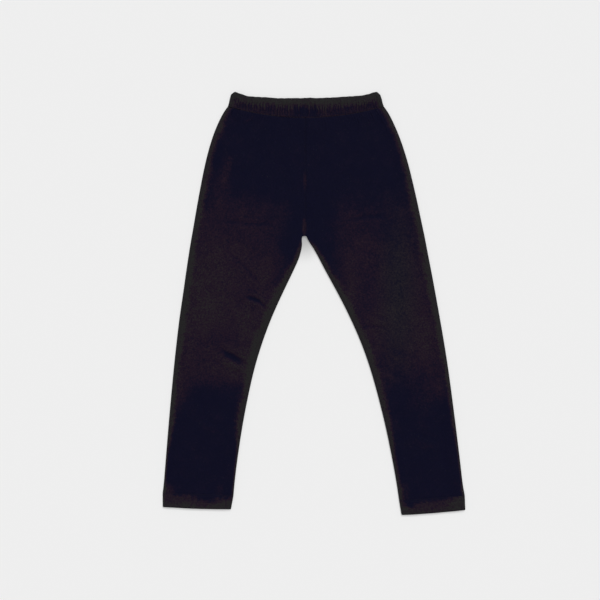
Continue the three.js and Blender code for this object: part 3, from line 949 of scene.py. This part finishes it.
jersey = {
    "wale": 0.9, "course": 0.75,      # mm across a column of knit loops, and along one
    # tones from dark to pale that the paleness picks between; the paler ones stand for painted highlight and
    # painted sheen as well as the cloth's own fading and wear
    "dark": (0.0011, 0.0010, 0.0153, 1),
    "fadingAndSheen": (0.0160, 0.0054, 0.0166, 1),
    "wearAndHighlight": (0.0182, 0.0134, 0.0184, 1),
    "pale": (0.0182, 0.0177, 0.0184, 1),
    # where the black has faded to a cooler tone: the middle and size of the patch, in mm
    "cool": (0.0118, 0.0094, 0.0166, 1), "coolAt": (131, -268), "coolSize": (40, 190),
    "lint": (0.030, 0.030, 0.033, 1), "lintShare": 0.5,
    "roughness": 0.82,
    "specular": 0.12,
    "sheen": 0.035, "sheenRoughness": 0.5, "sheenTint": (0.9, 0.92, 1, 1),
    "loopHeight": 0.16, "fuzzHeight": 0.07, "bump": 0.6,
    # each unevenness: its size in mm, its detail and how rough that is
    "noises": {
        "fuzz": (0.5, 2.0, 0.55), "wearAndHighlight": (16, 3.0, 0.55), "fleck": (3.5, 3.0, 0.65),
        "lint": (1.1, 0.0, 0.55), "speck": (2.2, 1.0, 0.55),
    },
    # how much each varies the paleness, and then the shade. The knit's parts are a painted shade between its
    # loops.
    "fading": {"fleck": 0.6, "speck": 1.0, "yarn": 0.4, "wearAndHighlight": 0.4, "knit": 0.14},
    "shading": {"knit": 0.24, "yarn": 0.2, "speck": 0.3}, "shade": 0.88,
}


def jerseyFinish(name, pieces, hasCoolPatch=False):
    cloth = Finish(name)
    coords = cloth.add("ShaderNodeAttribute", {"attribute_name": "clothCoords"}, {}, "Vector")
    parts = cloth.add("ShaderNodeSeparateXYZ", {}, {"Vector": coords})
    across, along, pale = parts.out("X"), parts.out("Y"), parts.out("Z")
    place = cloth.place()

    # knit loops: two slanted legs to a wale
    wale = across / (jersey["wale"] * mm)
    withinWale = wale % 1.0
    course = along / (jersey["course"] * mm) + abs(withinWale - 0.5) * 1.5
    slant = abs((withinWale * (2 * math.pi)).sine())
    loop = (course * (2 * math.pi)).sine()
    knit = (slant ** 0.6) * (loop * 0.3 + 0.7)

    def noise(name):
        size, detail, roughness = jersey["noises"][name]
        sockets = {"Vector": place, "Scale": 1 / (size * mm), "Detail": detail, "Roughness": roughness}
        return cloth.add("ShaderNodeTexNoise", {}, sockets, "Fac")

    fuzz, wearAndHighlight, fleck, lintSpots, speck = [noise(name) for name in jersey["noises"]]
    # every loop of yarn has its own shade
    loopPlace = cloth.add("ShaderNodeCombineXYZ", {}, {0: wale.floor(), 1: course.floor()})
    yarn = cloth.add("ShaderNodeTexWhiteNoise", {"noise_dimensions": "2D"}, {"Vector": loopPlace}, "Value")
    share, shading = jersey["fading"], jersey["shading"]
    mottle = (fleck - 0.5) * share["fleck"] + (speck - 0.5) * share["speck"] + (yarn - 0.5) * share["yarn"]
    mottle = mottle * (pale * 1.3 + 0.5)  # the paler its colour, the more it is mottled
    paleness = pale + (wearAndHighlight - 0.5) * share["wearAndHighlight"] + mottle + (knit - 0.6) * share["knit"]
    stops = [(0.0, jersey["dark"]), (0.5, jersey["fadingAndSheen"]), (0.78, jersey["wearAndHighlight"]), (1.0, jersey["pale"])]
    colour = cloth.ramp(paleness, stops)
    if hasCoolPatch:
        stops[1] = (0.5, jersey["cool"])
        coolX, coolY = jersey["coolAt"]
        patch = cloth.patch(place, (seamX + coolX, waistY + coolY), jersey["coolSize"], 1.0, 0.0)
        colour = cloth.mixColour(patch, colour, cloth.ramp(paleness, stops))
    # the knit darkens the colour between its loops, a painted shade; yarn and speck vary the yarn's own tone
    shade = (knit - 0.6) * shading["knit"] + (yarn - 0.5) * shading["yarn"] + (speck - 0.5) * shading["speck"]
    shade = shade + jersey["shade"]
    colour = cloth.mixColour(shade, grey(0), colour)
    lintSockets = {0: lintSpots, 1: 0.8, 2: 0.84, 3: 0.0, 4: jersey["lintShare"]}
    lint = cloth.add("ShaderNodeMapRange", {}, lintSockets)
    colour = cloth.mixColour(lint, colour, jersey["lint"])
    bumps = knit * jersey["loopHeight"] + fuzz * jersey["fuzzHeight"]
    cloth.putOn(pieces, {
        "Base Color": colour,
        "Roughness": jersey["roughness"] + (fleck - 0.5) * 0.12 - (wearAndHighlight - 0.5) * 0.06,
        "Normal": cloth.bump(bumps, jersey["bump"]),
        "Specular IOR Level": jersey["specular"],
        "Sheen Weight": jersey["sheen"], "Sheen Roughness": jersey["sheenRoughness"],
        "Sheen Tint": jersey["sheenTint"],
    })


thread = {
    "black": [(0.0024, 0.0020, 0.0128, 1), (0.0075, 0.0058, 0.0148, 1)],      # and its highlights
    # the waist's thread is paler, a painted highlight along the waist seam
    "fadingAndSheen": [(0.0070, 0.0040, 0.0125, 1), (0.0180, 0.0110, 0.0190, 1)],
    "twistScale": 2600, "twistHeight": 0.1, "bump": 0.5,
    "roughness": 0.62, "specular": 0.12,
}


def threadFinish(name, pieces, colours):
    strand = Finish(name)
    sockets = {"Vector": strand.place(), "Scale": thread["twistScale"], "Detail": 1.0}
    twist = strand.add("ShaderNodeTexNoise", {}, sockets, "Fac")
    strand.putOn(pieces, {
        "Base Color": strand.mixColour(twist, *colours),
        "Roughness": thread["roughness"] + (twist - 0.5) * 0.2,
        "Normal": strand.bump(twist * thread["twistHeight"], thread["bump"]),
        "Specular IOR Level": thread["specular"],
    })


for kind, name in (("leg", "blackJersey"), ("casing", "gatheredJersey"), ("hem", "hemJersey")):
    jerseyFinish(name, [pieces[kind, side] for side in sides], hasCoolPatch=kind == "leg")
hemThreads = [threads["hem", side] for side in sides] + [seams[name] for name in ("right", "left", "centre")]
waistThreads = [threads["casing", side] for side in sides] + [seams["waist"]]
threadFinish("blackThread", hemThreads, thread["black"])
threadFinish("highlitWaistThread", waistThreads, thread["fadingAndSheen"])
print("materials made")


# Hiding the imported parts that the pieces stand for

for side in sides:
    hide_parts("leg_" + side)
    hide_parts("casing_" + side)
    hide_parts("hem_" + side)


# Floor, light and camera

studio = {
    "floorShade": 0.52, "floorGrain": 0.995, "floorGlow": 0.41, "floorReach": 40.0,
    "crotchShade": 0.52, "crotchShadeSize": (36, 46),
    "world": 0.30,
    "key": 1.9, "keyAngle": 24, "keyFrom": (0.22, 0.62, 0.95),
    "fill": 0.25, "fillAngle": 70, "fillFrom": (-0.5, -0.35, 0.9),
    "camera": (-19.75, 4.64, 2000),
}


def makeFloor():
    reach, shade = studio["floorReach"], studio["floorShade"]
    mesh = bpy.data.meshes.new("floor")
    corners = [(-reach, -reach, 0), (reach, -reach, 0), (reach, reach, 0), (-reach, reach, 0)]
    mesh.from_pydata(corners, [], [(0, 1, 2, 3)])
    floor = newObject("floor", mesh)
    surface = Finish("palePaper")
    place = surface.place()
    grain = surface.add("ShaderNodeTexNoise", {}, {"Vector": place, "Scale": 90.0}, "Fac")
    # a painted shadow darkens the floor's colour and its glow in the narrow gap under the crotch, where
    # hardly any light reaches
    gap = (seamX, crotchY + 2)
    shadow = surface.patch(place, gap, studio["crotchShadeSize"], studio["crotchShade"], 1.0)
    colour = surface.mixColour(grain, grey(shade * studio["floorGrain"]), grey(shade))
    surface.putOn([floor], {
        "Base Color": surface.mixColour(shadow, grey(0), colour),
        "Roughness": 0.9, "Specular IOR Level": 0.1,
        "Emission Color": surface.mixColour(shadow, grey(0), grey(1)),
        "Emission Strength": studio["floorGlow"],
    })


def makeSun(name):
    data = bpy.data.lights.new(name + "Light", "SUN")
    data.energy = studio[name]
    data.angle = math.radians(studio[name + "Angle"])
    x, y, z = studio[name + "From"]
    lamp = newObject(name + "Light", data)
    lamp.rotation_euler = (math.atan2(math.hypot(x, y), z), 0, math.atan2(x, -y))


makeFloor()
makeSun("key")
makeSun("fill")
world = bpy.data.worlds.new("studio")
world.use_nodes = True
background = world.node_tree.nodes["Background"]
background.inputs["Color"].default_value = grey(1)
background.inputs["Strength"].default_value = studio["world"]
bpy.context.scene.world = world
bpy.context.scene.view_settings.view_transform = "Standard"

cameraData = bpy.data.cameras.new("camera")
cameraData.lens = 85
cameraData.sensor_width = 36
camera = newObject("camera", cameraData)
camera.location = [distance * mm for distance in studio["camera"]]
bpy.context.scene.camera = camera
print("studio made")
